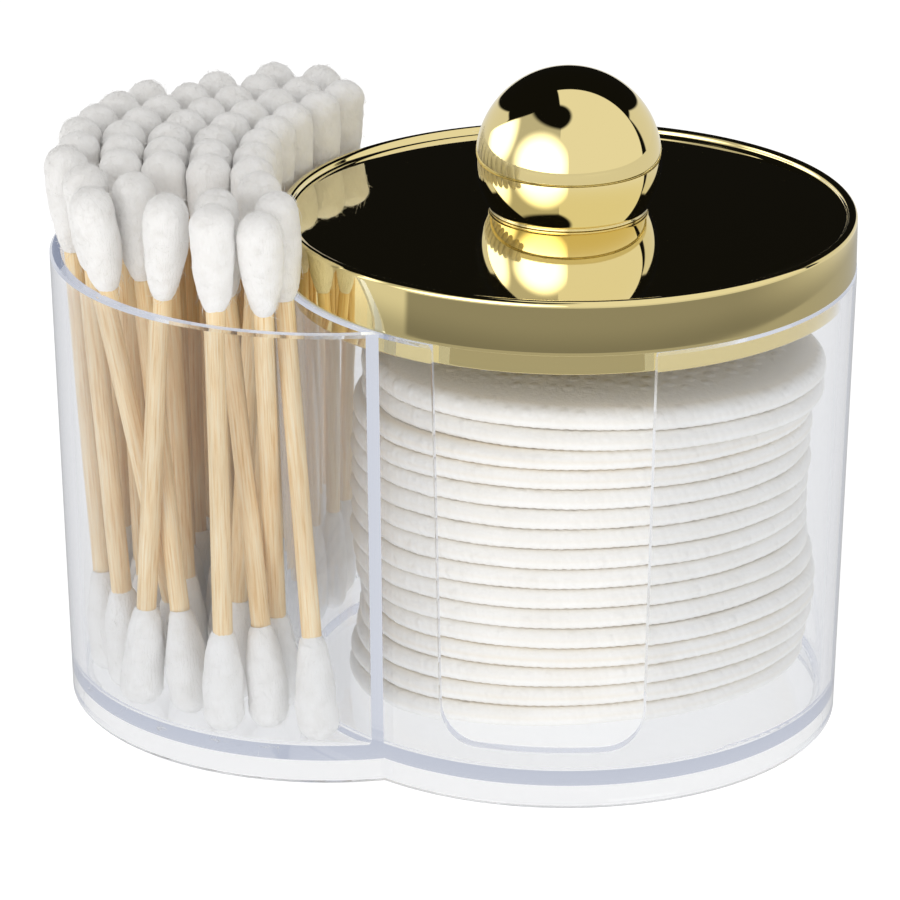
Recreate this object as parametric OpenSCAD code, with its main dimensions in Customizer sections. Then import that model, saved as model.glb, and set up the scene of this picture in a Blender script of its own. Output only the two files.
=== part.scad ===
// Two-compartment holder for cotton swabs and cotton pads, with a domed-knob lid.
// Origin: middle of the footprint, on the surface the holder stands on.
// +X points from the swab compartment to the pad compartment, +Z is up.

/* [Holder shell] */
// Outer radius of the round pad compartment at its rim
pad_lobe_r = 39; // [37.5:0.5:43]
// Outer radius of the swab compartment at its rim
swab_lobe_r = 37.7; // [37:0.1:38.6]
// How far the swab compartment reaches past the pad compartment
swab_reach = 31; // [30:0.5:36]
// Height from the table to the rim
rim_z = 63.6; // [58:0.2:72]
// Wall thickness, also of the divider and of the foot skirt
wall = 1.8; // [1.4:0.1:2.2]
// Thickness of the floor
floor_t = 1.9; // [1.4:0.1:3]
// Depth of the recess under the floor
foot_h = 2.9; // [2:0.1:5]
// How much each wall draws in from rim to table
draft = 1.6; // [0.6:0.1:2.2]
// Edge break on the rim and on the foot
edge_break = 0.35; // [0.2:0.05:0.5]
// Fillet between the walls and the floor inside
inner_fillet = 1; // [0.5:0.1:2]

/* [Finger slot] */
// Width of the slot at the rim
slot_top_w = 28.6; // [22:0.2:32]
// Width of the slot at its lower end
slot_low_w = 26.6; // [20:0.2:30]
// Height of the slot's lower edge above the floor of the compartment
slot_sill = 3.3; // [2:0.1:12]
// Radius of the slot's lower corners
slot_corner_r = 5; // [2:0.5:8]
// Radius where the slot meets the rim
slot_lip_r = 1.3; // [0.6:0.1:2]
// Turn of the slot from the front toward the right
slot_turn = 6.5; // [0:0.5:15]

/* [Lid] */
// How far the lid's outer band stays inside the edge of the rim
lid_inset = 0.5; // [0.4:0.05:1.2]
// Height of the outer band
lid_band_h = 7.3; // [5:0.1:10]
// Wall thickness of the lid
lid_wall = 1.6; // [1.2:0.1:2]
// Gap all round between the lid's plug and the holder's wall
plug_clearance = 0.6; // [0.5:0.05:0.9]
// How far the plug reaches below the rim
plug_depth = 3.2; // [2:0.1:6]
// How far the loose lid sits to the right of centre
lid_shift = 0.4; // [0:0.1:0.4]
// How far the lid's top falls from the knob to the bead at its border
lid_fall = 1; // [0.7:0.1:1.2]
// Width of the raised bead round the lid's top
lid_bead_w = 1.4; // [1:0.1:2]

/* [Knob] */
// Radius of the ball knob
knob_r = 12.4; // [10:0.1:15]
// Height of the ball's centre above the lid
knob_rise = 6.8; // [5:0.1:8]
// Radius of the flat that the ball stands on
knob_foot_r = 9.9; // [8.5:0.1:10.2]
// Diameter of the screw that holds the knob
screw_d = 3; // [2.5:0.1:4]
// Length of the screw's shank
screw_l = 10; // [8:0.5:12]

/* [Cotton pads] */
// Number of pads in the stack
pad_count = 16; // [6:1:18]
// Radius of a pad
pad_r = 31; // [26:0.1:31]
// Thickness that a pad takes in the stack
pad_pitch = 2.8; // [2.2:0.02:2.82]
// Gap kept between two pads
pad_gap = 0.04; // [0.02:0.01:0.1]
// How far the stack stands to the right of the compartment's centre
pad_shift = 2; // [0:0.1:2]
// Tilt of the lowest pad, rising to the right
pad_tilt_right = 4.4; // [0:0.1:4.4]
// Share of that tilt that the pads above it lose on the way up
pad_levelling = 0.8; // [0:0.05:1]
// Tilt of the stack, rising to the front
pad_tilt_front = 3.1; // [0:0.1:3.2]

/* [Cotton swabs] */
// Length of a swab
swab_l = 74.5; // [70:0.5:76]
// Diameter of the bamboo stick
stick_d = 2.6; // [2:0.1:2.6]
// Diameter of the cotton at the upper end
head_d = 5.9; // [4.5:0.1:5.9]
// Diameter of the cotton at the lower end
bud_d = 5.4; // [4.2:0.1:5.4]
// Length of the wound cotton
cotton_l = 14.5; // [10:0.5:16]

/* [Hidden] */
$fn = 96;

// Lobe centres, placed so that the footprint is centred on the origin
lobe_spacing = swab_reach + pad_lobe_r - swab_lobe_r;
pad_x = swab_reach / 2;
swab_x = pad_x - lobe_spacing;
floor_z = foot_h + floor_t;
slot_low_z = floor_z + slot_sill;

// Lid levels
lid_x = pad_x + lid_shift;
lid_r = pad_lobe_r - lid_inset;
lid_top_z = rim_z + lid_band_h;
plug_r = pad_lobe_r - wall - plug_clearance;
lid_flat_r = knob_r + 0.6;
boss_r = screw_d / 2 + 2.6;
boss_h = 2.4;
screw_head_r = screw_d * 1.05;
screw_head_h = 1.8;
screw_hole_clearance = 0.2;
screw_z = lid_top_z - lid_wall - boss_h;

// Pad stack: the lowest pad is pressed flat where it bears on the floor
pad_edge_r = 1.1;
pad_press = 0.5;
pad_lean = acos(cos(pad_tilt_right) * cos(pad_tilt_front));
pad_tilt_step = pad_tilt_right * pad_levelling / (pad_count - 1);
stack_x = pad_x + pad_shift;
stack_y = -0.5;
stack_z = floor_z + (pad_r - pad_edge_r) * sin(pad_lean) - pad_press;

// As many pads as the stack may have and the room under the lid's plug takes
pad_head_gap = 0.3;
pad_top_limit = rim_z - plug_depth - pad_head_gap - pad_r * sin(pad_lean);
pads_in_room = floor((pad_top_limit - stack_z) / pad_pitch);

// The pads don't lie true: each has slipped a little to the right, from the lowest pad up,
// as far as the compartment leaves room. Two pads of unlike tilt meet at one side only.
pad_slips = [0.2, 0.6, 1, 1.6, 1.6, 1, 0.6, 0.3, 0.4, 0.4, 0.5, 0.4, 0.5, 0.6, 2.3, 2.2];
pad_wall_gap = 0.3;
pad_slip_room = pad_lobe_r - wall - draft - pad_r - pad_shift - pad_wall_gap;
pad_wedge = (pad_r + max(pad_slips)) * sin(pad_tilt_step);

// Swab details
neck_r = stick_d / 2 + 0.4;
cotton_end = 2;
fit_gap = 0.02;

// The swabs' places are drawn in a room of this radius, from the swab lobe's centre,
// and follow the room's size
drawn_room_r = 34.3;
room_scale = (swab_lobe_r - wall - draft) / drawn_room_r;

// Ten swabs stand against the front wall: foot x, foot y, head x, head y
front_swabs = [
    [-7.5, -30.4, -7.5, -33.4],
    [-2.2, -21.6, -1.4, -32.6],
    [-2.0, -28.1, -8.8, -26.4],
    [5.3, -31.0, -1.0, -25.2],
    [-13.4, -25.6, -21.4, -20.8],
    [-20.2, -24.0, -14.7, -29.4],
    [-15.5, -19.0, -25.6, -26.4],
    [-27.8, -13.8, -32.8, -13.1],
    [-23.4, -19.2, -28.0, -20.4],
    [-8.8, -20.4, -4.9, -18.8]
];

// Rows behind them: count, first foot x, foot y, foot step, first head x, head y, head step
swab_rows = [
    [4, -22.2, -13.5, 5.5, -25.4, -13.0, 6.05],
    [5, -30.0, -8.0, 5.5, -32.8, -6.9, 6.05],
    [5, -31.2, -2.5, 5.6, -34.4, -0.8, 6.3],
    [5, -31.0, 3.0, 5.6, -33.5, 5.3, 6.15],
    [5, -30.2, 8.5, 5.6, -32.2, 11.4, 6.1],
    [5, -28.1, 14.0, 5.6, -29.8, 17.5, 6.1],
    [4, -23.2, 19.5, 5.8, -21.5, 23.6, 6.0],
    [2, -16.5, 25.0, 5.8, -14.8, 29.7, 6.6]
];

front_ids = [for (i = [1:len(front_swabs)]) i];
row_ids = [for (i = [1:len(swab_rows)]) i];
pad_ids = [for (i = [1:min(pad_count, pads_in_room)]) i];

// One lobe of the holder's outside, drawn in by the draft, with broken edges
module lobe_outside(rim_r) {
    rotate_extrude()
        polygon([
            [0, 0],
            [rim_r - draft - edge_break, 0],
            [rim_r - draft, edge_break],
            [rim_r, rim_z - edge_break],
            [rim_r - edge_break, rim_z],
            [0, rim_z]
        ]);
}

// The room inside one lobe, from the floor up past the rim
module lobe_inside(rim_r) {
    low_r = rim_r - draft * (1 - floor_z / rim_z) - wall;
    rotate_extrude() {
        polygon([
            [0, floor_z],
            [low_r - inner_fillet, floor_z],
            [low_r, floor_z + inner_fillet],
            [rim_r - wall, rim_z - edge_break],
            [rim_r - wall + 2 * edge_break, rim_z + edge_break],
            [0, rim_z + edge_break]
        ]);
        translate([low_r - inner_fillet, floor_z + inner_fillet])
            intersection() {
                circle(inner_fillet);
                translate([0, -inner_fillet])
                    square(inner_fillet);
            }
    }
}

// Recess under the floor of one lobe
module lobe_recess(rim_r) {
    translate([0, 0, -1])
        cylinder(h = foot_h + 1, r = rim_r - draft - wall);
}

// Outline of the finger slot, centred on its own axis, height along Y.
// Its lower corners are arcs, and each side runs into the rim over a lip arc.
module slot_outline() {
    corner_x = slot_low_w / 2 - slot_corner_r;
    corner_z = slot_low_z + slot_corner_r;
    lip_x = slot_top_w / 2 + 0.95 * slot_lip_r;
    lip_z = rim_z - 0.8 * slot_lip_r;
    polygon([
        [-corner_x, slot_low_z],
        [corner_x, slot_low_z],
        [slot_low_w / 2, corner_z],
        [slot_top_w / 2, rim_z],
        [slot_top_w / 2, rim_z + 1],
        [-slot_top_w / 2, rim_z + 1],
        [-slot_top_w / 2, rim_z],
        [-slot_low_w / 2, corner_z]
    ]);
    for (side = [-1, 1])
        translate([side * corner_x, corner_z])
            circle(slot_corner_r);
    difference() {
        translate([-lip_x, lip_z])
            square([2 * lip_x, rim_z + 1 - lip_z]);
        for (side = [-1, 1])
            translate([side * lip_x, lip_z])
                circle(slot_lip_r);
    }
}

// Clear moulded holder: pad compartment, crescent swab compartment, foot skirt
module container() {
    color([0.86, 0.90, 0.94, 0.45])
        difference() {
            union() {
                translate([pad_x, 0, 0])
                    lobe_outside(pad_lobe_r);
                translate([swab_x, 0, 0])
                    lobe_outside(swab_lobe_r);
            }
            translate([pad_x, 0, 0])
                lobe_inside(pad_lobe_r);
            difference() {
                translate([swab_x, 0, 0])
                    lobe_inside(swab_lobe_r);
                translate([pad_x, 0, 0])
                    lobe_outside(pad_lobe_r);
            }
            translate([pad_x, 0, 0])
                lobe_recess(pad_lobe_r);
            translate([swab_x, 0, 0])
                lobe_recess(swab_lobe_r);
            translate([pad_x, 0, 0])
                rotate([0, 0, slot_turn])
                    translate([0, -pad_lobe_r + 2 * wall + draft + 1.5, 0])
                        rotate([90, 0, 0])
                            linear_extrude(height = 4 * wall + draft + 3)
                                slot_outline();
        }
}

// Plated lid: flat top, outer band that sits on the rim, plug inside the wall, screw boss
module lid() {
    ledge_z = rim_z + lid_wall;
    bead_r = lid_bead_w / 2;
    border_z = lid_top_z - lid_fall;
    inner_top_z = border_z - lid_wall;
    color([0.84, 0.74, 0.45])
        translate([lid_x, 0, 0])
            difference() {
                union() {
                    rotate_extrude() {
                        polygon([
                            [0, lid_top_z - lid_wall],
                            [lid_flat_r, lid_top_z - lid_wall],
                            [lid_r - lid_wall, inner_top_z],
                            [lid_r - lid_wall, ledge_z],
                            [plug_r - lid_wall, ledge_z],
                            [plug_r - lid_wall, rim_z - plug_depth],
                            [plug_r - edge_break, rim_z - plug_depth],
                            [plug_r, rim_z - plug_depth + edge_break],
                            [plug_r, rim_z],
                            [lid_r, rim_z],
                            [lid_r, lid_top_z - bead_r],
                            [lid_r - lid_bead_w, lid_top_z - bead_r],
                            [lid_r - lid_bead_w - lid_fall / 2, border_z],
                            [lid_flat_r, lid_top_z],
                            [0, lid_top_z]
                        ]);
                        translate([lid_r - bead_r, lid_top_z - bead_r])
                            circle(bead_r);
                    }
                    translate([0, 0, screw_z])
                        cylinder(h = boss_h + lid_wall / 2, r = boss_r);
                }
                translate([0, 0, screw_z - 1])
                    cylinder(h = lid_wall + boss_h + 2, r = screw_d / 2 + screw_hole_clearance);
            }
}

// Plated ball knob, cut flat where it stands on the lid, bored for its screw
module knob() {
    bore_depth = screw_l - boss_h - lid_wall + 1;
    foot_step = 0.35;
    color([0.90, 0.83, 0.58])
        translate([lid_x, 0, lid_top_z])
            difference() {
                union() {
                    rotate_extrude()
                        translate([0, knob_rise])
                            intersection() {
                                circle(knob_r);
                                translate([0, foot_step - knob_rise])
                                    square([knob_r, knob_r + knob_rise]);
                            }
                    cylinder(h = 2 * foot_step, r = knob_foot_r);
                }
                translate([0, 0, -1])
                    cylinder(h = bore_depth + 1, r = screw_d / 2);
            }
}

// Pan-head screw driven up through the lid's boss into the knob
module knob_screw() {
    color([0.70, 0.70, 0.72])
        translate([lid_x, 0, screw_z]) {
            cylinder(h = screw_l, r = screw_d / 2);
            translate([0, 0, -screw_head_h])
                rotate_extrude()
                    polygon([
                        [0, 0],
                        [screw_head_r * 0.7, 0],
                        [screw_head_r, screw_head_h * 0.45],
                        [screw_head_r, screw_head_h],
                        [0, screw_head_h]
                    ]);
        }
}

// A cotton pad: a flat disc with a round edge, lying on the tilted stack
module pad(i) {
    thick = pad_pitch * cos(pad_lean) - pad_gap - pad_wedge;
    half = thick / 2;
    tilt_right = pad_tilt_right - (i - 1) * pad_tilt_step;
    slip = min(pad_slips[(i - 1) % len(pad_slips)], pad_slip_room);
    color([0.95, 0.94, 0.91])
        intersection() {
            translate([stack_x, stack_y, stack_z + (i - 1) * pad_pitch])
                rotate([-pad_tilt_front, -tilt_right, 0])
                    translate([slip, 0, 0])
                        rotate_extrude() {
                            square([pad_r - half, thick]);
                            translate([pad_r - half, half])
                                intersection() {
                                    circle(half);
                                    translate([0, -half])
                                        square([half, thick]);
                                }
                        }
            translate([pad_x - 2 * pad_lobe_r, -2 * pad_lobe_r, floor_z])
                cube([4 * pad_lobe_r, 4 * pad_lobe_r, 2 * rim_z]);
        }
}

// Turns a swab drawn along +Z, starting at its lower round end, to its place in the holder
module place_swab(foot, head) {
    reach = swab_l - bud_d / 2 - head_d / 2;
    run = (head - foot) * room_scale;
    slant = norm(run);
    translate([swab_x + foot[0] * room_scale, foot[1] * room_scale, floor_z + bud_d / 2])
        rotate([0, asin(slant / reach), atan2(run[1], run[0])])
            translate([0, 0, -bud_d / 2])
                children();
}

// Bamboo stick, its ends inside the cotton
module stick() {
    color([0.87, 0.70, 0.45])
        translate([0, 0, cotton_end])
            cylinder(h = swab_l - 2 * cotton_end, r = stick_d / 2);
}

// Wound cotton on one end of a stick: a round end that tapers to a neck
module cotton(d) {
    r = d / 2;
    rotate_extrude()
        difference() {
            union() {
                intersection() {
                    translate([0, r])
                        circle(r);
                    square([r, 2 * r]);
                }
                polygon([
                    [0, r],
                    [r, r],
                    [r, 0.42 * cotton_l],
                    [r * 0.86, 0.7 * cotton_l],
                    [neck_r, cotton_l - 0.3],
                    [neck_r - 0.2, cotton_l],
                    [0, cotton_l]
                ]);
            }
            translate([-1, cotton_end - fit_gap])
                square([1 + stick_d / 2 + fit_gap, cotton_l]);
        }
}

// Both cotton ends of a swab
module tips() {
    color([0.97, 0.96, 0.94]) {
        cotton(bud_d);
        translate([0, 0, swab_l])
            mirror([0, 0, 1])
                cotton(head_d);
    }
}

// Places one part of every swab of a row
module along_row(i) {
    row = swab_rows[i - 1];
    for (k = [0:row[0] - 1])
        place_swab([row[1] + k * row[3], row[2]], [row[4] + k * row[6], row[5]])
            children();
}

// Places one part of a swab of the front group
module at_front(i) {
    spot = front_swabs[i - 1];
    place_swab([spot[0], spot[1]], [spot[2], spot[3]])
        children();
}

container();
lid();
knob();
knob_screw();
for (i = pad_ids)
    pad(i);
for (i = front_ids)
    at_front(i) stick();
for (i = front_ids)
    at_front(i) tips();
for (i = row_ids)
    along_row(i) stick();
for (i = row_ids)
    along_row(i) tips();
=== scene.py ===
"""Blender scene of a clear two-compartment holder with cotton swabs, cotton pads and a plated lid."""

import math

import bpy
import numpy as np
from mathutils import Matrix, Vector


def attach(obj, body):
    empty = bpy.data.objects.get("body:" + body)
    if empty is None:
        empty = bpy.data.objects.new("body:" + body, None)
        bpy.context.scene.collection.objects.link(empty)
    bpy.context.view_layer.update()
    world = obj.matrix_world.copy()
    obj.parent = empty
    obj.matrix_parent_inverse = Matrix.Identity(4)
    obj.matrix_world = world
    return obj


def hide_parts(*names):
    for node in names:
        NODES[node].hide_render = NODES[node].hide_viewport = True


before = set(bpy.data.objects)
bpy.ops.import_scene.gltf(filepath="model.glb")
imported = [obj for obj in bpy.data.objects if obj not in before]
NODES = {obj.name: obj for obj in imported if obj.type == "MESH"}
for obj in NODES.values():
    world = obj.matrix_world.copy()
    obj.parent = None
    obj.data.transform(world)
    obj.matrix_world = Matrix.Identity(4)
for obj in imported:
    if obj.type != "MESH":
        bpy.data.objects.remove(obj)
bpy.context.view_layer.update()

MM = 0.001

# How far to the right of the front the photograph was taken, in degrees
VIEW_AZ = 12.0

# Sizes of part.scad, in millimetres
SWAB_X = -16.8
RIM_Z, FLOOR_Z = 63.6, 4.8
LID_X, LID_R, LID_BAND_H, LID_WALL = 15.9, 38.5, 7.3, 1.6
LID_FLAT_R, LID_FALL, BEAD_W = 13.0, 1.0, 1.4
PLUG_R, PLUG_DEPTH = 36.6, 3.2
KNOB_R, KNOB_RISE = 12.4, 6.8
PADS, PAD_R, PAD_PITCH, PAD_GAP, PAD_EDGE_R, PAD_PRESS = 16, 31.0, 2.8, 0.04, 1.1, 0.5
STACK_X, STACK_Y = 17.5, -0.5
TILT_RIGHT, TILT_FRONT, LEVELLING = 4.4, 3.1, 0.8
TILT_STEP = TILT_RIGHT * LEVELLING / (PADS - 1)
PAD_SLIPS = [0.2, 0.6, 1.0, 1.6, 1.6, 1.0, 0.6, 0.3, 0.4, 0.4, 0.5, 0.4, 0.5, 0.6, 2.3, 2.2]
SWAB_L, STICK_R, HEAD_R, BUD_R, COTTON_L = 74.5, 1.3, 2.95, 2.7, 14.5
# Swabs at the front wall, one by one: place of the lower end, place of the upper end
FRONT = [
    (-7.5, -30.4, -7.5, -33.4),
    (-2.2, -21.6, -1.4, -32.6),
    (-2.0, -28.1, -8.8, -26.4),
    (5.3, -31.0, -1.0, -25.2),
    (-13.4, -25.6, -21.4, -20.8),
    (-20.2, -24.0, -14.7, -29.4),
    (-15.5, -19.0, -25.6, -26.4),
    (-27.8, -13.8, -32.8, -13.1),
    (-23.4, -19.2, -28.0, -20.4),
    (-8.8, -20.4, -4.9, -18.8),
]
# Rows behind them: count, first lower end, its step to the right, first upper end, its step to the right
ROWS = [
    (4, -22.2, -13.5, 5.5, -25.4, -13.0, 6.05),
    (5, -30.0, -8.0, 5.5, -32.8, -6.9, 6.05),
    (5, -31.2, -2.5, 5.6, -34.4, -0.8, 6.3),
    (5, -31.0, 3.0, 5.6, -33.5, 5.3, 6.15),
    (5, -30.2, 8.5, 5.6, -32.2, 11.4, 6.1),
    (5, -28.1, 14.0, 5.6, -29.8, 17.5, 6.1),
    (4, -23.2, 19.5, 5.8, -21.5, 23.6, 6.0),
    (2, -16.5, 25.0, 5.8, -14.8, 29.7, 6.6),
]


# Small helpers for meshes

def build_mesh(name, verts, faces, attributes=None, material_ids=None):
    """A smooth mesh object from a point array (mm) and an integer array of quads or triangles."""
    me = bpy.data.meshes.new(name)
    verts = np.asarray(verts, np.float32) * MM
    me.vertices.add(len(verts))
    me.vertices.foreach_set("co", verts.ravel())
    flat = np.concatenate([np.asarray(f, np.int32).ravel() for f in faces])
    sizes = np.concatenate([np.full(len(f), np.asarray(f).shape[1], np.int32) for f in faces])
    starts = np.concatenate([[0], np.cumsum(sizes)[:-1]]).astype(np.int32)
    me.loops.add(len(flat))
    me.loops.foreach_set("vertex_index", flat)
    me.polygons.add(len(sizes))
    me.polygons.foreach_set("loop_start", starts)
    me.polygons.foreach_set("loop_total", sizes)
    me.update(calc_edges=True)
    me.validate()
    me.polygons.foreach_set("use_smooth", np.ones(len(me.polygons), bool))
    for key, values in (attributes or {}).items():
        values = np.asarray(values, np.float32)
        if values.ndim == 1:
            layer = me.attributes.new(key, "FLOAT", "POINT")
            layer.data.foreach_set("value", values)
        else:
            layer = me.attributes.new(key, "FLOAT_VECTOR", "POINT")
            layer.data.foreach_set("vector", values.ravel())
    if material_ids is not None:
        me.polygons.foreach_set("material_index", np.asarray(material_ids, np.int32))
    obj = bpy.data.objects.new(name, me)
    bpy.context.scene.collection.objects.link(obj)
    return obj


def tube_quads(rings, sides):
    """Quads between successive closed rings of points."""
    i = np.arange(rings - 1)[:, None]
    j = np.arange(sides)[None, :]
    a = i * sides + j
    b = i * sides + (j + 1) % sides
    c = (i + 1) * sides + (j + 1) % sides
    d = (i + 1) * sides + j
    return np.stack([a, b, c, d], -1).reshape(-1, 4).astype(np.int32)


def lathe(name, profile, centre, segments):
    """A turned piece: profile is a list of (radius, height), in mm, listed so that the outside is right."""
    prof = np.array(profile, float)
    ang = np.linspace(0, 2 * math.pi, segments, endpoint=False)
    x = prof[:, 0][:, None] * np.cos(ang)[None, :] + centre[0]
    y = prof[:, 0][:, None] * np.sin(ang)[None, :] + centre[1]
    z = np.repeat(prof[:, 1][:, None], segments, 1) + centre[2]
    verts = np.stack([x, y, z], -1).reshape(-1, 3)
    return build_mesh(name, verts, [tube_quads(len(prof), segments)])


def arc(cx, cz, r, a0, a1, steps):
    """Points of an arc in the profile plane, angles in degrees from +radius."""
    return [
        (cx + r * math.cos(math.radians(a)), cz + r * math.sin(math.radians(a)))
        for a in np.linspace(a0, a1, steps)
    ]


def along(p, q, steps):
    """Evenly spaced points from p to q, with both of them."""
    return [(p[0] + (q[0] - p[0]) * t, p[1] + (q[1] - p[1]) * t) for t in np.linspace(0, 1, steps)]


# Material helpers

def material(name):
    """A new material with nothing but an output node."""
    mat = bpy.data.materials.new(name)
    mat.use_nodes = True
    nt = mat.node_tree
    nt.nodes.clear()
    out = nt.nodes.new("ShaderNodeOutputMaterial")
    return mat, nt, out


def node(nt, kind, inputs=None, **props):
    """A new node; inputs holds sockets to link and constants to set."""
    n = nt.nodes.new(kind)
    for k, v in props.items():
        setattr(n, k, v)
    for k, v in (inputs or {}).items():
        if isinstance(v, bpy.types.NodeSocket):
            nt.links.new(v, n.inputs[k])
        else:
            n.inputs[k].default_value = v
    return n


def math_node(nt, op, a, b=None, c=None, clamp=False):
    inputs = {0: a}
    if b is not None:
        inputs[1] = b
    if c is not None:
        inputs[2] = c
    return node(nt, "ShaderNodeMath", inputs, operation=op, use_clamp=clamp).outputs[0]


def ramp(nt, fac, stops, interpolation="LINEAR"):
    n = node(nt, "ShaderNodeValToRGB", {"Fac": fac})
    n.color_ramp.interpolation = interpolation
    els = n.color_ramp.elements
    while len(els) > len(stops):
        els.remove(els[-1])
    while len(els) < len(stops):
        els.new(0.5)
    for e, (pos, col) in zip(els, stops):
        e.position = pos
        e.color = (*col, 1.0)
    return n.outputs["Color"]


def smooth(nt, value, low, high):
    """0 below low, 1 above high, smooth between."""
    n = node(nt, "ShaderNodeMapRange", {"Value": value, "From Min": low, "From Max": high})
    n.interpolation_type = "SMOOTHSTEP"
    return n.outputs["Result"]


def remap(nt, value, low, high, start, end):
    """A straight run from start at low to end at high, level beyond them."""
    inputs = {"Value": value, "From Min": low, "From Max": high, "To Min": start, "To Max": end}
    return node(nt, "ShaderNodeMapRange", inputs).outputs["Result"]


def position(nt):
    return node(nt, "ShaderNodeNewGeometry").outputs["Position"]


def noise(nt, vector, scale, detail=2.0, roughness=0.5):
    inputs = {"Vector": vector, "Scale": scale, "Detail": detail, "Roughness": roughness}
    return node(nt, "ShaderNodeTexNoise", inputs).outputs["Fac"]


def stretched(nt, vector, factors):
    return node(nt, "ShaderNodeVectorMath", {0: vector, 1: factors}, operation="MULTIPLY").outputs[0]


def blend(nt, kind, factor, a, b):
    inputs = {"Factor": factor, "A": a, "B": b}
    return node(nt, "ShaderNodeMix", inputs, data_type="RGBA", blend_type=kind).outputs["Result"]


def relief(nt, bsdf, height, distance, strength):
    """Fine relief on a surface, distance in metres."""
    n = node(nt, "ShaderNodeBump", {"Height": height, "Distance": distance, "Strength": strength})
    nt.links.new(n.outputs["Normal"], bsdf.inputs["Normal"])


# Materials

def clear_plastic():
    mat, nt, out = material("clear_plastic")
    place = position(nt)
    bsdf = node(nt, "ShaderNodeBsdfPrincipled", {
        "Base Color": (0.955, 0.958, 0.965, 1.0),
        "IOR": 1.52,
        "Transmission Weight": 1.0,
        "Roughness": remap(nt, noise(nt, place, 260.0, 3.0), 0.35, 0.75, 0.0, 0.045),
    })
    relief(nt, bsdf, noise(nt, place, 55.0, 1.0), 0.00004, 0.5)
    # Shadows and soft light pass straight through the walls
    clear = node(nt, "ShaderNodeBsdfTransparent", {"Color": (0.975, 0.98, 0.985, 1.0)})
    path = node(nt, "ShaderNodeLightPath")
    through = math_node(nt, "MAXIMUM", path.outputs["Is Shadow Ray"], path.outputs["Is Diffuse Ray"])
    mix = node(nt, "ShaderNodeMixShader", {0: through, 1: bsdf.outputs[0], 2: clear.outputs[0]})
    # Painted glow: paths deep in reflections inside the walls end in a pale grey emission, standing in for
    # the light that the walls carry inside them
    painted_glow = node(nt, "ShaderNodeEmission", {"Color": (0.66, 0.68, 0.74, 1.0), "Strength": 1.1})
    deep = math_node(nt, "GREATER_THAN", path.outputs["Glossy Depth"], 2.5)
    inside = math_node(nt, "GREATER_THAN", path.outputs["Transmission Depth"], 0.5)
    deep = math_node(nt, "MULTIPLY", deep, inside)
    last = node(nt, "ShaderNodeMixShader", {0: deep, 1: mix.outputs[0], 2: painted_glow.outputs[0]})
    nt.links.new(last.outputs[0], out.inputs["Surface"])
    absorb = node(nt, "ShaderNodeVolumeAbsorption", {"Color": (0.70, 0.73, 0.80, 1.0), "Density": 30.0})
    nt.links.new(absorb.outputs[0], out.inputs["Volume"])
    return mat


def gold_plating():
    mat, nt, out = material("gold_plating")
    place = position(nt)
    bsdf = node(nt, "ShaderNodeBsdfPrincipled", {
        "Base Color": (0.80, 0.67, 0.32, 1.0),
        "Metallic": 1.0,
        "Roughness": remap(nt, noise(nt, place, 90.0, 4.0), 0.3, 0.8, 0.012, 0.05),
    })
    relief(nt, bsdf, noise(nt, place, 45.0, 1.0), 0.00003, 0.5)
    nt.links.new(bsdf.outputs[0], out.inputs["Surface"])
    return mat


def screw_steel():
    mat, nt, out = material("screw_steel")
    grain = noise(nt, position(nt), 900.0, 3.0)
    bsdf = node(nt, "ShaderNodeBsdfPrincipled", {
        "Base Color": ramp(nt, grain, [(0.3, (0.42, 0.42, 0.43)), (0.7, (0.60, 0.60, 0.61))]),
        "Metallic": 1.0,
        "Roughness": 0.32,
    })
    nt.links.new(bsdf.outputs[0], out.inputs["Surface"])
    return mat


def cotton_wound():
    """Wound cotton of the swabs: the attribute swab holds each tip's own position in mm."""
    mat, nt, out = material("cotton_wound")
    own = node(nt, "ShaderNodeAttribute", attribute_name="swab").outputs["Vector"]
    fine = noise(nt, stretched(nt, own, (1.0, 1.0, 0.22)), 3.4, 6.0, 0.62)
    soft = noise(nt, own, 0.55, 3.0)
    bsdf = node(nt, "ShaderNodeBsdfPrincipled", {
        "Base Color": ramp(nt, soft, [(0.25, (0.89, 0.875, 0.85)), (0.55, (0.945, 0.935, 0.92))]),
        "Roughness": 0.95,
        "Sheen Weight": 0.15,
    })
    relief(nt, bsdf, math_node(nt, "ADD", fine, soft), 0.00034, 0.7)
    nt.links.new(bsdf.outputs[0], out.inputs["Surface"])
    return mat


def cotton_fibre():
    mat, nt, out = material("cotton_fibre")
    vary = noise(nt, position(nt), 400.0)
    bsdf = node(nt, "ShaderNodeBsdfPrincipled", {
        "Base Color": ramp(nt, vary, [(0.3, (0.84, 0.82, 0.80)), (0.6, (0.95, 0.945, 0.94))]),
        "Roughness": 0.8,
        "Sheen Weight": 0.2,
    })
    nt.links.new(bsdf.outputs[0], out.inputs["Surface"])
    return mat


def bamboo():
    """Bare bamboo: the attribute swab holds each stick's own position in mm, plus a shift per stick."""
    mat, nt, out = material("bamboo")
    own = node(nt, "ShaderNodeAttribute", attribute_name="swab").outputs["Vector"]
    grain = noise(nt, stretched(nt, own, (1.0, 1.0, 0.035)), 4.2, 5.0, 0.6)
    tone = ramp(nt, grain, [
        (0.28, (0.76, 0.49, 0.22)),
        (0.42, (0.92, 0.68, 0.38)),
        (0.55, (0.97, 0.79, 0.51)),
        (0.72, (0.98, 0.86, 0.64)),
    ])
    patch = noise(nt, stretched(nt, own, (0.25, 0.25, 0.06)), 1.4, 2.0)
    shade = ramp(nt, patch, [(0.3, (0.88, 0.84, 0.78)), (0.65, (1.0, 1.0, 1.0))])
    bsdf = node(nt, "ShaderNodeBsdfPrincipled", {
        "Base Color": blend(nt, "MULTIPLY", 1.0, tone, shade),
        "Roughness": 0.55,
    })
    relief(nt, bsdf, grain, 0.00008, 0.6)
    nt.links.new(bsdf.outputs[0], out.inputs["Surface"])
    return mat


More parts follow.
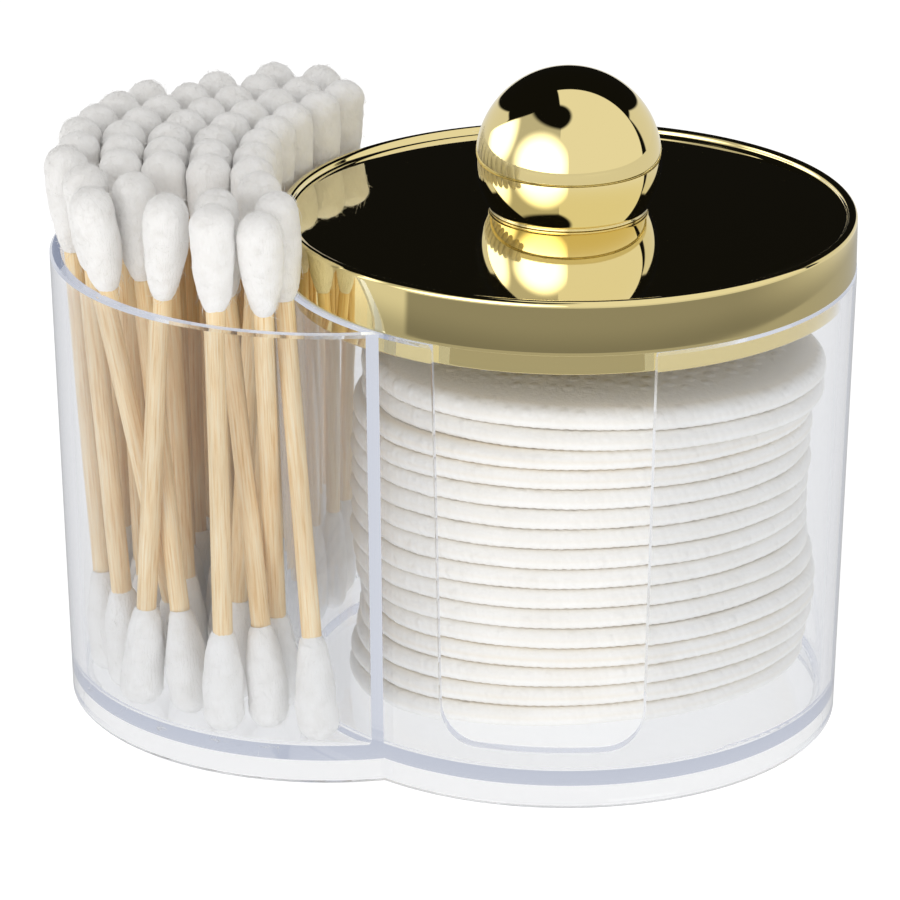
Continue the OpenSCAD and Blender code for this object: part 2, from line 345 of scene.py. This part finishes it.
def cotton_pad():
    """Felted pad: pad holds its own position in mm, seam_shade is 1 in the seam between two pads, where it
    mixes a painted cream shade into the white.
    """
    mat, nt, out = material("cotton_pad")
    own = node(nt, "ShaderNodeAttribute", attribute_name="pad").outputs["Vector"]
    seam_shade = node(nt, "ShaderNodeAttribute", attribute_name="seam_shade").outputs["Fac"]
    felt = noise(nt, own, 1.6, 6.0, 0.65)
    cloud = noise(nt, own, 0.16, 3.0)
    white = ramp(nt, cloud, [(0.3, (0.895, 0.885, 0.86)), (0.6, (0.925, 0.92, 0.905))])
    # Painted shade: cream mixed into the white along the seams between pads
    bsdf = node(nt, "ShaderNodeBsdfPrincipled", {
        "Base Color": blend(nt, "MIX", seam_shade, white, (0.86, 0.76, 0.60, 1.0)),
        "Roughness": 0.95,
        "Sheen Weight": 0.1,
    })
    # Embossed dots on the flat faces
    dots = node(nt, "ShaderNodeTexVoronoi", {"Vector": own, "Scale": 0.42, "Randomness": 0.12})
    dot_h = smooth(nt, dots.outputs["Distance"], 0.10, 0.42)
    relief(nt, bsdf, math_node(nt, "MULTIPLY_ADD", dot_h, -1.3, felt), 0.00022, 0.5)
    nt.links.new(bsdf.outputs[0], out.inputs["Surface"])
    return mat


CLEAR = clear_plastic()
GOLD = gold_plating()
STEEL = screw_steel()
WOUND = cotton_wound()
FIBRE = cotton_fibre()
BAMBOO = bamboo()
PAD = cotton_pad()


def dress(obj, *mats):
    obj.data.materials.clear()
    for m in mats:
        obj.data.materials.append(m)


# The holder and the screw keep their CAD shapes
dress(NODES["container"], CLEAR)
dress(NODES["knob_screw"], STEEL)


# Lid and knob, turned with fine edges so that their mirror finish runs smoothly
lid_top = RIM_Z + LID_BAND_H
border = lid_top - LID_FALL
bead = BEAD_W / 2
bead_foot = LID_R - BEAD_W
# Inside faces of the lid: its ceiling, the band, the plug, the step between these two, the plug's end
ceiling = lid_top - LID_WALL
band_in = LID_R - LID_WALL
plug_in = PLUG_R - LID_WALL
step = RIM_Z + LID_WALL
plug_end = RIM_Z - PLUG_DEPTH
BOSS_R, BOSS_H = 4.1, 2.4
SCREW_HOLE_R = 1.5
KNOB_SEAT_R = 9.0


def dome(r):
    """Height of the lid's gently domed top at radius r."""
    run = max(0.0, r - KNOB_SEAT_R) / (bead_foot - 0.5 - KNOB_SEAT_R)
    return lid_top - LID_FALL * run ** 1.35


lid_profile = (
    [(SCREW_HOLE_R, ceiling), (1.8, ceiling - BOSS_H), (BOSS_R, ceiling - BOSS_H)]
    + [(BOSS_R, ceiling - 0.2), (4.4, ceiling), (LID_FLAT_R, ceiling)]
    + [(band_in - 0.3, border - LID_WALL), (band_in, border - LID_WALL - 0.3)]
    + [(band_in, step + 0.1)]
    + [(band_in - 0.1, step), (plug_in + 0.1, step)]
    + [(plug_in, step - 0.1), (plug_in, plug_end + 0.12)]
    + arc(plug_in + 0.2, plug_end + 0.2, 0.2, 180, 270, 4)
    + arc(PLUG_R - 0.35, plug_end + 0.35, 0.35, 270, 360, 6)
    + [(PLUG_R, RIM_Z - 0.05), (PLUG_R + 0.02, RIM_Z)]
    + [(LID_R - 0.25, RIM_Z)]
    + arc(LID_R - 0.2, RIM_Z + 0.2, 0.2, 270, 360, 5)
    + along((LID_R, RIM_Z + 0.5), (LID_R, lid_top - bead - 0.1), 5)
    + arc(LID_R - bead, lid_top - bead, bead, 0, 172, 26)
    + [(bead_foot - 0.06, lid_top - bead - 0.08)]
    + [(bead_foot - 0.30, border + 0.10), (bead_foot - 0.5, border + 0.02)]
    + [(r, dome(r)) for r in np.linspace(bead_foot - 0.75, KNOB_SEAT_R, 30)]
    + [(8.0, lid_top), (1.7, lid_top)]
    + [(1.7, ceiling - BOSS_H)]
)
lid = lathe("lid_shell", lid_profile, (LID_X, 0, 0), 320)
dress(lid, GOLD)
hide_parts("lid")
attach(lid, "lid")

# The ball starts where it comes out of the small bead at its foot
cut = math.degrees(math.asin((0.16 - KNOB_RISE) / KNOB_R))
cut_r = KNOB_R * math.cos(math.radians(cut))
knob_profile = (
    [(1.6, 6.0), (1.6, 0.01), (cut_r - 0.3, 0.01)]
    + arc(cut_r - 0.02, 0.15, 0.14, -88, 88, 9)
    + arc(0, KNOB_RISE, KNOB_R, cut + 0.7, 89.9, 84)
)
knob = lathe("knob_ball", knob_profile, (LID_X, 0, lid_top), 256)
dress(knob, GOLD)
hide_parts("knob")
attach(knob, "lid")


# Cotton pads

PAD_SEGMENTS = 640
STRAND_W = 1.25
# How far the top pad, with nothing on it, swells at its middle
PAD_SWELL = 4.0


def turned(p, i):
    """Raises the front and then the right side of pad i, as part.scad does."""
    a = math.radians(-TILT_FRONT)
    b = math.radians(-TILT_RIGHT + (i - 1) * TILT_STEP)
    x, y, z = p[:, 0], p[:, 1], p[:, 2]
    y, z = y * math.cos(a) - z * math.sin(a), y * math.sin(a) + z * math.cos(a)
    x, z = x * math.cos(b) + z * math.sin(b), -x * math.sin(b) + z * math.cos(b)
    return np.stack([x, y, z], -1)


def pad_mesh(i, rng):
    """One pad: round edge with slanted strands, a slightly wavy rim, soft flat faces."""
    ang = np.linspace(0, 2 * math.pi, PAD_SEGMENTS, endpoint=False)
    lean = math.acos(math.cos(math.radians(TILT_RIGHT)) * math.cos(math.radians(TILT_FRONT)))
    thick = PAD_PITCH * math.cos(lean) - PAD_GAP
    half = thick / 2
    edge = np.radians(np.linspace(-88, 88, 9))
    # Radius, height and angle round the edge of each ring of points
    rings = [(0.0, -half, 0.0), (14.0, -half, 0.0), (PAD_R - 4.2, -half, 0.0)]
    rings += [(PAD_R - half + half * math.cos(a), half * math.sin(a), a) for a in edge]
    rings += [(r, half, 0.0) for r in (PAD_R - 2.4, 26.0, 20.0, 10.0, 0.0)]
    waves = sum(a * np.sin(k * ang + p) for k, a, p in zip(
        (2, 3, 5, 9, 17), (0.10, 0.09, 0.07, 0.05, 0.03), rng.uniform(0, 6.28, 5)))
    turn = rng.uniform(0, 6.28)
    strands = round(2 * math.pi * PAD_R / STRAND_W)
    pts, seam_shade = [], []
    for r, h, a in rings:
        out = r + waves * (r / PAD_R) ** 4
        up = np.full(PAD_SEGMENTS, h)
        if r > PAD_R - half - 0.01:
            twist = np.sin(strands * ang + turn + a * 2.4) * 0.055
            twist = twist + np.sin(strands * 0.43 * ang + turn) * 0.02
            out = out + twist * math.cos(a)
            up = up + twist * math.sin(a) * 0.5
        pts.append(np.stack([out * np.cos(ang), out * np.sin(ang), up], -1))
        # Painted shade: cream towards the seams with the pads above and below, none at the middle of the
        # round edge
        fold = min(1.0, abs(a) / math.radians(88)) if a else (0.75 if r > PAD_R - 5 else 0.0)
        seam_shade.append(np.full(PAD_SEGMENTS, max(0.0, fold - 0.35) ** 1.6 * 1.5))
    pts = np.concatenate(pts)
    seam_shade = np.concatenate(seam_shade)
    if i == PADS:
        over = np.clip(1 - (np.hypot(pts[:, 0], pts[:, 1]) / PAD_R) ** 3.2, 0, 1)
        pts[:, 2] += np.where(pts[:, 2] > 0, PAD_SWELL * over, 0)
    own = pts + rng.uniform(-200, 200, 3)
    p = pts + [PAD_SLIPS[(i - 1) % PADS], 0, half]
    # A little thinner on the right, so that the stack levels out towards its top
    p[:, 2] *= 1 - p[:, 0] * math.sin(math.radians(TILT_STEP)) / thick
    base = FLOOR_Z + (PAD_R - PAD_EDGE_R) * math.sin(lean) - PAD_PRESS
    p = turned(p, i) + [STACK_X, STACK_Y, base + (i - 1) * PAD_PITCH]
    p[:, 2] = np.maximum(p[:, 2], FLOOR_Z + 0.02)
    return p, tube_quads(len(rings), PAD_SEGMENTS), own, seam_shade


pad_nodes = sorted((n for n in NODES if n.startswith("pad_")), key=lambda n: int(n[4:]))
# How strong the painted cream shade in the seam over each pad is, 0.5 where none is given
SEAM_SHADE_LEVEL = {1: 0.6, 4: 1.0, 13: 0.8, 14: 1.0, 2: 0.8}
for name in pad_nodes:
    i = int(name[4:])
    rng = np.random.default_rng(100 + i)
    p, faces, own, seam_shade = pad_mesh(i, rng)
    seam_shade = np.clip(seam_shade * SEAM_SHADE_LEVEL.get(i, 0.5), 0, 1)
    obj = build_mesh("cotton_" + name, p, [faces], {"pad": own, "seam_shade": seam_shade})
    dress(obj, PAD)
    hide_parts(name)
    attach(obj, "holder")


# Swabs

def swab_axes(foot, head):
    """Lower end and three axes of a swab, as part.scad places it."""
    reach = SWAB_L - BUD_R - HEAD_R
    run = np.array([head[0] - foot[0], head[1] - foot[1]])
    rise = math.sqrt(reach ** 2 - run @ run)
    w = np.array([run[0], run[1], rise]) / reach
    u = np.cross(w, [0.3, 1.0, 0.1])
    u /= np.linalg.norm(u)
    v = np.cross(w, u)
    start = np.array([SWAB_X + foot[0], foot[1], FLOOR_Z + BUD_R]) - w * BUD_R
    return start, u, v, w


def along_swab(local, start, u, v, w):
    """Points given along a swab's own axes, put in their place."""
    return start + local[:, :1] * u + local[:, 1:2] * v + local[:, 2:] * w


def stick_mesh(foot, head, rng):
    """One stick, slightly bowed and not quite round: points, quads, own positions."""
    axes = swab_axes(foot, head)
    sides, rings = 14, 26
    ang = np.linspace(0, 2 * math.pi, sides, endpoint=False)
    z = np.linspace(6.0, SWAB_L - 6.0, rings)
    bow = rng.normal(0, 0.16, 2)
    k = np.sin(math.pi * z / SWAB_L)
    around = 1 + 0.025 * np.sin(3 * ang + rng.uniform(0, 6.28))
    length = 1 + 0.015 * np.sin(z / 5 + rng.uniform(0, 6.28))
    rad = STICK_R * around[None, :] * length[:, None]
    lx = rad * np.cos(ang) + (bow[0] * k)[:, None]
    ly = rad * np.sin(ang) + (bow[1] * k)[:, None]
    lz = np.repeat(z[:, None], sides, 1)
    local = np.stack([lx, ly, lz], -1).reshape(-1, 3)
    return along_swab(local, *axes), tube_quads(rings, sides), local + rng.uniform(-500, 500, 3)


def cotton_radius(z, r):
    """Radius of the wound cotton at height z above its round end."""
    z = np.asarray(z, float)
    end = r * np.sqrt(np.clip(1 - ((r - np.minimum(z, r)) / r) ** 2, 0, 1))
    heights = [r] + [part * COTTON_L for part in (0.42, 0.56, 0.7, 0.86)] + [COTTON_L - 0.3, COTTON_L]
    radii = [r, r, 0.955 * r, 0.86 * r, 0.72 * r, 1.56, 1.28]
    return np.where(z < r, end, np.interp(z, heights, radii))


def tip_mesh(foot, head, top, rng):
    """Cotton of one end: points, quads, own positions."""
    axes = swab_axes(foot, head)
    r = HEAD_R if top else BUD_R
    sides, rings = 30, 26
    ang = np.linspace(0, 2 * math.pi, sides, endpoint=False)
    s = np.linspace(0, 1, rings)
    z = np.where(s < 0.4, r * (1 - np.cos(s / 0.4 * math.pi / 2)), r + (COTTON_L - r) * (s - 0.4) / 0.6)
    rad = cotton_radius(z, r)[:, None] * np.ones(sides)[None, :]
    fade = np.clip(z / 2.0, 0, 1)[:, None] * np.clip((COTTON_L - z) / 1.5, 0.25, 1)[:, None]
    lump = 0
    for k, m, amp in ((1, 0.35, 0.07), (2, -0.5, 0.07), (3, 0.8, 0.05), (5, -1.1, 0.035), (7, 1.9, 0.025)):
        lump = lump + amp * np.sin(k * ang[None, :] + m * z[:, None] + rng.uniform(0, 6.28))
    rad = rad + lump * fade
    lx, ly = rad * np.cos(ang), rad * np.sin(ang)
    lz = np.repeat(z[:, None], sides, 1)
    local = np.stack([lx, ly, lz], -1).reshape(-1, 3)
    world = local.copy()
    quads = tube_quads(rings, sides)
    if top:
        world[:, 2] = SWAB_L - world[:, 2]
        quads = quads[:, ::-1]
    return along_swab(world, *axes), quads, local + rng.uniform(-300, 300, 3)


def fibres(foot, head, top, count, rng):
    """Loose fibres on one cotton end, as thin three-sided threads."""
    r = HEAD_R if top else BUD_R
    on_dome = rng.random(count) < 0.45
    z = np.where(on_dome, r * (1 - rng.random(count) ** 0.5), r + (COTTON_L - r) * rng.random(count) ** 1.15)
    a = rng.uniform(0, 2 * math.pi, count)
    rad = cotton_radius(z, r) - 0.05
    flat = np.zeros(count)
    radial = np.stack([np.cos(a), np.sin(a), flat], -1)
    base = radial * rad[:, None] + np.stack([flat, flat, z], -1)
    sink = np.clip((r - z) / r, 0, 1)[:, None]
    n = radial * np.sqrt(1 - sink ** 2) + np.array([0, 0, -1.0]) * sink
    tang = rng.normal(0, 1, (count, 3))
    tang -= n * (tang * n).sum(1)[:, None]
    tang /= np.linalg.norm(tang, axis=1)[:, None]
    bend = rng.normal(0, 1, (count, 3))
    # Free ones stand out from the cotton, the others lie on it with both ends
    free = rng.random(count) < 0.22
    length = np.where(free, rng.uniform(0.6, 1.9, count), rng.uniform(1.2, 3.0, count))
    lift = np.where(free, rng.uniform(0.25, 0.8, count), rng.uniform(0.12, 0.34, count))
    steps = 4
    path = []
    for q in np.linspace(0, 1, steps):
        rise = np.where(free, lift * q, lift * 4 * q * (1 - q) - 0.08 * q)
        drop = (length * q) ** 2 / (2 * r) * ~free
        run = tang * (length * q)[:, None] * 0.9
        path.append(base + run + n * rise[:, None] + bend * (0.22 * q * q) - n * drop[:, None])
    path = np.stack(path, 1)
    e1 = np.cross(tang, n)
    thick = rng.uniform(0.016, 0.030, count)
    taper = np.array([1.0, 1.0, 0.9, 0.35])
    ring = []
    for q in range(3):
        c, s = math.cos(2 * math.pi * q / 3), math.sin(2 * math.pi * q / 3)
        ring.append((e1 * c + n * s)[:, None, :] * (thick[:, None] * taper[None, :])[:, :, None])
    local = path[:, :, None, :] + np.stack(ring, 2)
    local = local.reshape(-1, 3)
    if top:
        local[:, 2] = SWAB_L - local[:, 2]
    one = tube_quads(steps, 3)
    quads = (one[None, :, :] + (np.arange(count) * steps * 3)[:, None, None]).reshape(-1, 4)
    return along_swab(local, *swab_axes(foot, head)), quads


def joined(parts):
    """Meshes as (points, quads, own positions, material index), put together as one."""
    firsts = np.cumsum([0] + [len(p) for p, q, o, m in parts])
    quads = np.concatenate([q + n for n, (p, q, o, m) in zip(firsts, parts)])
    ids = np.concatenate([np.full(len(q), m) for p, q, o, m in parts])
    own = np.concatenate([o for p, q, o, m in parts])
    return np.concatenate([p for p, q, o, m in parts]), [quads], {"swab": own}, ids


def swab_group(places, stick_name, tips_name, heads, buds, seed):
    """Builds the sticks and the cotton of a group of swabs and puts them in place of their CAD nodes."""
    rng = np.random.default_rng(seed)
    parts = [(*stick_mesh(foot, head, rng), 0) for foot, head in places]
    sticks = build_mesh("bamboo_" + stick_name, *joined(parts))
    dress(sticks, BAMBOO)
    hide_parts(stick_name)
    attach(sticks, "holder")
    parts = []
    for foot, head in places:
        for top in (True, False):
            parts.append((*tip_mesh(foot, head, top, rng), 0))
            p, q = fibres(foot, head, top, heads if top else buds, rng)
            parts.append((p, q, np.zeros((len(p), 3)), 1))
    tips = build_mesh("cotton_" + tips_name, *joined(parts))
    dress(tips, WOUND, FIBRE)
    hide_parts(tips_name)
    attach(tips, "holder")


for i, (fx, fy, hx, hy) in enumerate(FRONT, 1):
    swab_group([((fx, fy), (hx, hy))], f"stick_front_{i}", f"tips_front_{i}", 240, 160, 500 + i)
for i, (count, fx, fy, fs, hx, hy, hs) in enumerate(ROWS, 1):
    places = [((fx + k * fs, fy), (hx + k * hs, hy)) for k in range(count)]
    swab_group(places, f"sticks_row_{i}", f"tips_row_{i}", 150, 30, 600 + i)


# Floor

# A ring on the floor, seen only in reflections, that keeps the front of the lid's band dark
RING_IN, RING_OUT = 0.2118, 0.252
FLOOR_HALF = 3000


def floor_material():
    """White where the camera sees it, with the object's shadow, and dimmer near the object in reflections."""
    mat, nt, out = material("studio_floor")
    path = node(nt, "ShaderNodeLightPath")
    tone = math_node(nt, "MULTIPLY_ADD", path.outputs["Is Diffuse Ray"], -0.40, 0.40)
    tone = math_node(nt, "MULTIPLY_ADD", path.outputs["Is Glossy Ray"], -0.22, tone)
    bsdf = node(nt, "ShaderNodeBsdfDiffuse", {"Color": tone})
    place = node(nt, "ShaderNodeSeparateXYZ", {"Vector": position(nt)})
    x, y = place.outputs["X"], place.outputs["Y"]
    # Polar place on the floor round the lid's axis, angle in degrees from the view, positive to the right
    dx = math_node(nt, "SUBTRACT", x, LID_X * MM)
    far = math_node(nt, "ADD", math_node(nt, "POWER", dx, 2.0), math_node(nt, "POWER", y, 2.0))
    far = math_node(nt, "POWER", far, 0.5)
    ang = math_node(nt, "ARCTAN2", dx, math_node(nt, "MULTIPLY", y, -1.0))
    ang = math_node(nt, "MULTIPLY", ang, 180 / math.pi)
    ang = math_node(nt, "ADD", ang, -VIEW_AZ)
    ring = math_node(nt, "MULTIPLY", smooth(nt, far, RING_IN, 0.2128), smooth(nt, far, RING_OUT, 0.246))
    sector = math_node(nt, "MULTIPLY", smooth(nt, ang, -64.0, -61.0), smooth(nt, ang, 135.0, 60.0))
    ring = math_node(nt, "MULTIPLY", ring, sector)
    shine = math_node(nt, "MULTIPLY_ADD", smooth(nt, far, RING_IN, 0.230), 0.36, 0.34)
    shine = math_node(nt, "MULTIPLY", shine, math_node(nt, "MULTIPLY_ADD", ring, -0.72, 1.0))
    straight, bent = path.outputs["Is Camera Ray"], path.outputs["Is Transmission Ray"]
    seen = math_node(nt, "MULTIPLY_ADD", bent, 0.62, straight)
    glow = math_node(nt, "MULTIPLY", path.outputs["Is Glossy Ray"], shine)
    glow = math_node(nt, "MULTIPLY_ADD", seen, 0.80, glow)
    glow = math_node(nt, "MULTIPLY_ADD", path.outputs["Is Diffuse Ray"], 1.08, glow)
    light = node(nt, "ShaderNodeEmission", {"Strength": glow})
    both = node(nt, "ShaderNodeAddShader", {0: bsdf.outputs[0], 1: light.outputs[0]})
    nt.links.new(both.outputs[0], out.inputs["Surface"])
    return mat


corners = [(x * FLOOR_HALF, y * FLOOR_HALF, 0) for x, y in ((-1, -1), (1, -1), (1, 1), (-1, 1))]
floor = build_mesh("studio_floor", corners, [np.array([[0, 1, 2, 3]])])
floor.location.z = -0.00005
dress(floor, floor_material())


# World: white behind the object, studio panels and a dark room in the reflections

def build_world():
    world = bpy.data.worlds.new("studio")
    bpy.context.scene.world = world
    world.use_nodes = True
    world.cycles.sampling_method = "NONE"
    nt = world.node_tree
    nt.nodes.clear()
    out = nt.nodes.new("ShaderNodeOutputWorld")
    coord = node(nt, "ShaderNodeTexCoord").outputs["Generated"]
    z = node(nt, "ShaderNodeSeparateXYZ", {"Vector": coord}).outputs["Z"]
    view = math.radians(VIEW_AZ)

    def facing(right, ahead, up):
        """Cosine to a direction given by how far it points right, to the front and up in the photograph."""
        x = right * math.cos(view) + ahead * math.sin(view)
        y = right * math.sin(view) - ahead * math.cos(view)
        inputs = {0: coord, 1: tuple(Vector((x, y, up)).normalized())}
        return node(nt, "ShaderNodeVectorMath", inputs, operation="DOT_PRODUCT").outputs["Value"]

    side = facing(1, 0, 0)
    front = facing(0, 1, 0)
    # Angle round from the front, in turns: positive to the right, 0.5 straight behind
    turn = math_node(nt, "DIVIDE", math_node(nt, "ARCTAN2", side, front), 2 * math.pi)
    away = math_node(nt, "ABSOLUTE", turn)

    def above(value, limit, soft):
        return smooth(nt, value, limit - soft, limit + soft)

    def below(value, limit, soft):
        return math_node(nt, "SUBTRACT", 1.0, above(value, limit, soft))

    def both(*parts):
        value = parts[0]
        for part in parts[1:]:
            value = math_node(nt, "MULTIPLY", value, part)
        return value

    # Right: one even panel that curves from the floor up over the object and a little behind it
    back_edge = math_node(nt, "MULTIPLY_ADD", z, 0.16, front)
    left_edge = math_node(nt, "SUBTRACT", side, remap(nt, z, 0.25, 0.95, -0.25, -0.16))
    bite = below(facing(-0.24, 0.30, 0.86), 0.955, 0.012)
    panel = both(above(back_edge, -0.22, 0.008), above(left_edge, 0.0, 0.01), bite)
    panel = math_node(nt, "MULTIPLY", panel, 0.98)
    # Left: a glowing soft box, its lower half the brightest
    box_top = math_node(nt, "SUBTRACT", z, remap(nt, turn, -0.37, -0.25, 0.0, 0.79))
    box = both(below(box_top, 0.0, 0.03), below(away, 0.365, 0.006), below(side, 0.0, 0.05))
    hot = above(facing(-0.58, 0.80, 0.12), 0.86, 0.12)
    wing = above(facing(-0.95, -0.25, 0.25), 0.93, 0.05)
    glow = math_node(nt, "MULTIPLY_ADD", hot, 3.4, 0.62)
    glow = math_node(nt, "MULTIPLY_ADD", wing, 2.6, glow)
    box = math_node(nt, "MULTIPLY", box, glow)
    # Behind: the white sweep, seen low to the left and the right, with the dark room above it
    sweep_top = math_node(nt, "SUBTRACT", z, remap(nt, away, 0.34, 0.46, 0.46, -0.05))
    sweep = both(below(sweep_top, 0.0, 0.02), above(away, 0.309, 0.004))
    sweep = math_node(nt, "MULTIPLY", sweep, 0.85)
    glossy = math_node(nt, "MAXIMUM", math_node(nt, "MAXIMUM", panel, box), sweep)
    glossy = math_node(nt, "MAXIMUM", glossy, 0.007)
    path = node(nt, "ShaderNodeLightPath")
    inside = math_node(nt, "GREATER_THAN", path.outputs["Transmission Depth"], 0.5)
    glossy = math_node(nt, "MAXIMUM", glossy, math_node(nt, "MULTIPLY", inside, 0.80))
    seen = math_node(nt, "MAXIMUM", path.outputs["Is Camera Ray"], path.outputs["Is Transmission Ray"])
    soft = math_node(nt, "MULTIPLY_ADD", smooth(nt, front, -0.5, 0.7), 0.16, 0.64)
    rest = node(nt, "ShaderNodeMix", {"Factor": path.outputs["Is Glossy Ray"], "A": soft, "B": glossy})
    rest = rest.outputs["Result"]
    level = node(nt, "ShaderNodeMix", {"Factor": seen, "A": rest, "B": 1.0}).outputs["Result"]
    # Gold seen in gold would be too yellow, so the light it shows is bluer
    twice = math_node(nt, "GREATER_THAN", path.outputs["Glossy Depth"], 1.5)
    twice = math_node(nt, "MULTIPLY", twice, math_node(nt, "SUBTRACT", 1.0, inside))
    tint = blend(nt, "MIX", twice, (1.0, 1.0, 1.0, 1.0), (1.15, 1.30, 2.1, 1.0))
    bg = node(nt, "ShaderNodeBackground", {"Color": tint, "Strength": level})
    nt.links.new(bg.outputs[0], out.inputs["Surface"])


build_world()


# Lamps

def area(name, place, target, size, power, colour=(1, 1, 1)):
    light = bpy.data.lights.new(name, "AREA")
    light.shape = "RECTANGLE"
    light.size, light.size_y = size
    light.energy = power
    light.color = colour
    obj = bpy.data.objects.new(name, light)
    bpy.context.scene.collection.objects.link(obj)
    obj.location = place
    obj.rotation_euler = (Vector(target) - Vector(place)).to_track_quat("-Z", "Y").to_euler()
    return obj


area("key_left", (-0.50, -0.95, 0.45), (0, 0, 0.04), (0.6, 0.6), 1.9, (1.0, 0.97, 0.93))
area("key_right", (0.80, -0.80, 0.30), (0, 0, 0.04), (0.6, 0.6), 1.0, (1.0, 0.985, 0.96))
for lamp in ("key_left", "key_right"):
    bpy.data.objects[lamp].visible_glossy = False


# Camera: the photograph's viewpoint, its focal length measured in pixels of the 900 pixel frame
FOCAL_PX, FRAME_PX, SENSOR_MM = 5286.13, 900, 36.0
cam_data = bpy.data.cameras.new("camera")
cam_data.sensor_width = SENSOR_MM
cam_data.lens = FOCAL_PX / FRAME_PX * SENSOR_MM
cam_data.clip_start, cam_data.clip_end = 0.01, 20.0
cam = bpy.data.objects.new("camera", cam_data)
bpy.context.scene.collection.objects.link(cam)
cam.location = (0.1395, -0.6575, 0.2923)
aim = Vector((-0.0002, 0.0, 0.03496))
cam.rotation_mode = "QUATERNION"
cam.rotation_quaternion = (aim - cam.location).to_track_quat("-Z", "Y")
bpy.context.scene.camera = cam

scene = bpy.context.scene
scene.view_settings.view_transform = "Standard"
